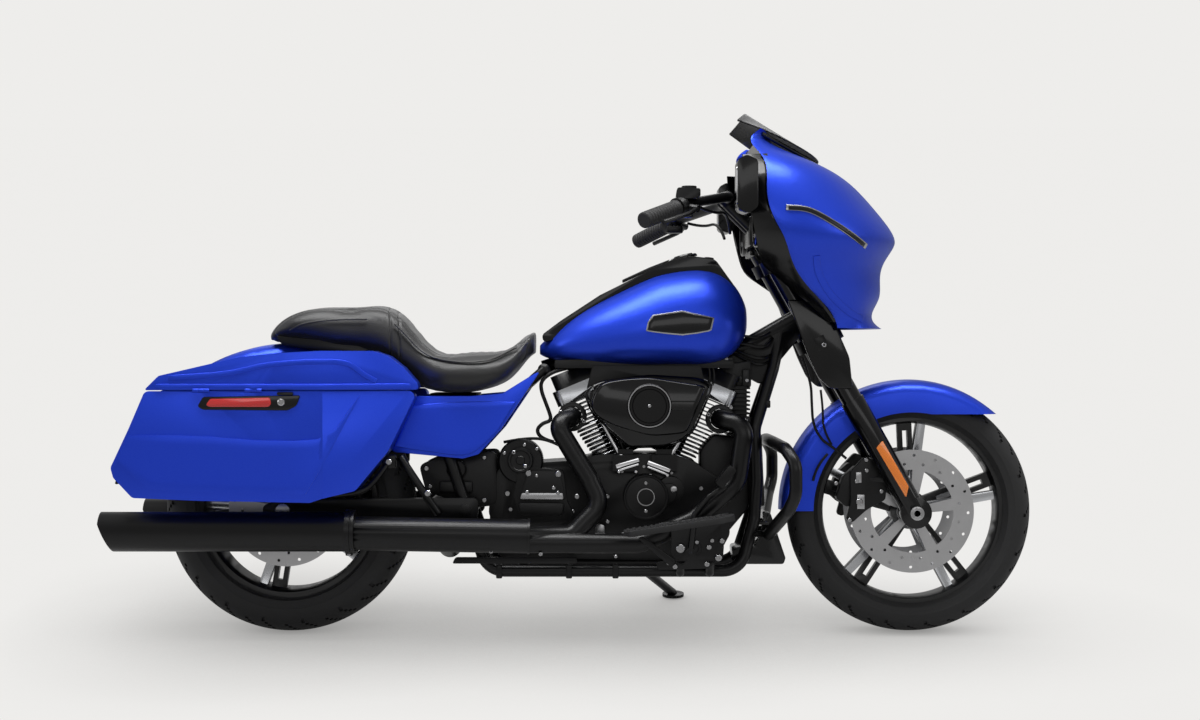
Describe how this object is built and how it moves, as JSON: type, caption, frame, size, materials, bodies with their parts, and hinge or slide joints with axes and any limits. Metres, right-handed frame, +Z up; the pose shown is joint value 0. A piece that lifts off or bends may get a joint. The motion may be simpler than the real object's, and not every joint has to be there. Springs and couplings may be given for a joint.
{
  "type": "touring cruiser motorcycle",
  "caption": "Touring cruiser motorcycle with a fork-mounted fairing, hard side bags and a finned v-twin engine, leaning on its side stand.",
  "frame": {"origin": "on the floor under the middle of the machine's bounding box, as it leans on its side stand", "axes": "+X to the front of the machine, +Y to the rider's left, +Z up"},
  "size_m": [2.3884, 0.9311, 1.3529],
  "materials": {
    "blue_paint": "satin",
    "gloss_black": "gloss",
    "satin_black": "satin",
    "cast_black": "satin",
    "cast_silver": "satin",
    "bright_chrome": "gloss",
    "steel": "brushed",
    "tyre_rubber": "matte",
    "grip_rubber": "matte",
    "seat_vinyl": "satin",
    "smoked_screen": "gloss",
    "lamp_glass": "gloss",
    "red_lens": "gloss"
  },
  "bodies": {
    "chassis": {"frame": "satin_black", "swingarm": "satin_black", "shocks": "satin_black", "rear_axle": "steel", "crankcase": "cast_black", "primary_cover": "cast_black", "front_cylinder": "cast_black", "rear_cylinder": "cast_black", "pushrods": "bright_chrome", "air_cleaner": "gloss_black", "exhaust_pipes": "gloss_black", "muffler_right": "gloss_black", "muffler_left": "gloss_black", "fuel_tank": "blue_paint", "tank_console": "gloss_black", "seat": "seat_vinyl", "side_cover_right": "blue_paint", "side_cover_left": "blue_paint", "rear_fender": "blue_paint", "tail_lamp": "red_lens", "bag_right": "blue_paint", "bag_left": "blue_paint", "engine_guard": "satin_black", "radiator": "cast_black", "chin_cowl": "satin_black", "board_mount_right": "satin_black", "board_mount_left": "satin_black", "rear_caliper": "cast_black"},
    "fork": {"triple_clamp": "satin_black", "fork_legs": "satin_black", "front_axle": "steel", "front_fender": "blue_paint", "fairing_outer": "blue_paint", "fairing_inner": "gloss_black", "windshield": "smoked_screen", "headlamp": "lamp_glass", "handlebar": "satin_black", "grip_right": "grip_rubber", "grip_left": "grip_rubber", "mirror_right": "gloss_black", "mirror_left": "gloss_black", "front_calipers": "cast_silver", "hand_control_right": "satin_black", "hand_control_left": "satin_black"},
    "front_wheel": {"front_tyre": "tyre_rubber", "front_rim": "cast_black", "front_disc_right": "steel", "front_disc_left": "steel"},
    "rear_wheel": {"rear_tyre": "tyre_rubber", "rear_rim": "cast_black", "rear_disc": "steel", "rear_pulley": "cast_black"},
    "side_stand": {"side_stand": "satin_black"},
    "lid_right": {"lid_right": "blue_paint"},
    "lid_left": {"lid_left": "blue_paint"},
    "footboard_right": {"footboard_right": "grip_rubber"},
    "footboard_left": {"footboard_left": "grip_rubber"}
  },
  "joints": [
    {"name": "steering", "type": "hinge", "parent": "chassis", "child": "fork", "pos_m": [0.61748, -0.02641, 0.86708], "axis": [-0.4384, 0.1406, 0.8877], "range_deg": [-35, 35]},
    {"name": "front_wheel_spin", "type": "hinge", "parent": "fork", "child": "front_wheel", "pos_m": [0.87425, -0.11323, 0.31892], "axis": [0, 0.9877, -0.1564], "continuous": true},
    {"name": "rear_wheel_spin", "type": "hinge", "parent": "chassis", "child": "rear_wheel", "pos_m": [-0.75075, -0.11198, 0.32682], "axis": [0, 0.9877, -0.1564], "continuous": true},
    {"name": "side_stand_fold", "type": "hinge", "parent": "chassis", "child": "side_stand", "pos_m": [0.17175, 0.02314, 0.1252], "axis": [0.0908, 0.6, 0.7948], "range_deg": [0, 113]},
    {"name": "right_lid_hinge", "type": "hinge", "parent": "chassis", "child": "lid_right", "pos_m": [-0.73825, -0.39631, 0.68587], "axis": [1, 0, 0], "range_deg": [0, 75]},
    {"name": "left_lid_hinge", "type": "hinge", "parent": "chassis", "child": "lid_left", "pos_m": [-0.73825, 0.26939, 0.58043], "axis": [-1, 0, 0], "range_deg": [0, 75]},
    {"name": "right_footboard_fold", "type": "hinge", "parent": "chassis", "child": "footboard_right", "pos_m": [0.25725, -0.34862, 0.33494], "axis": [-0.989, -0.0231, -0.146], "range_deg": [0, 45]},
    {"name": "left_footboard_fold", "type": "hinge", "parent": "chassis", "child": "footboard_left", "pos_m": [0.25725, 0.11559, 0.26141], "axis": [0.989, 0.0231, 0.146], "range_deg": [0, 45]}
  ]
}
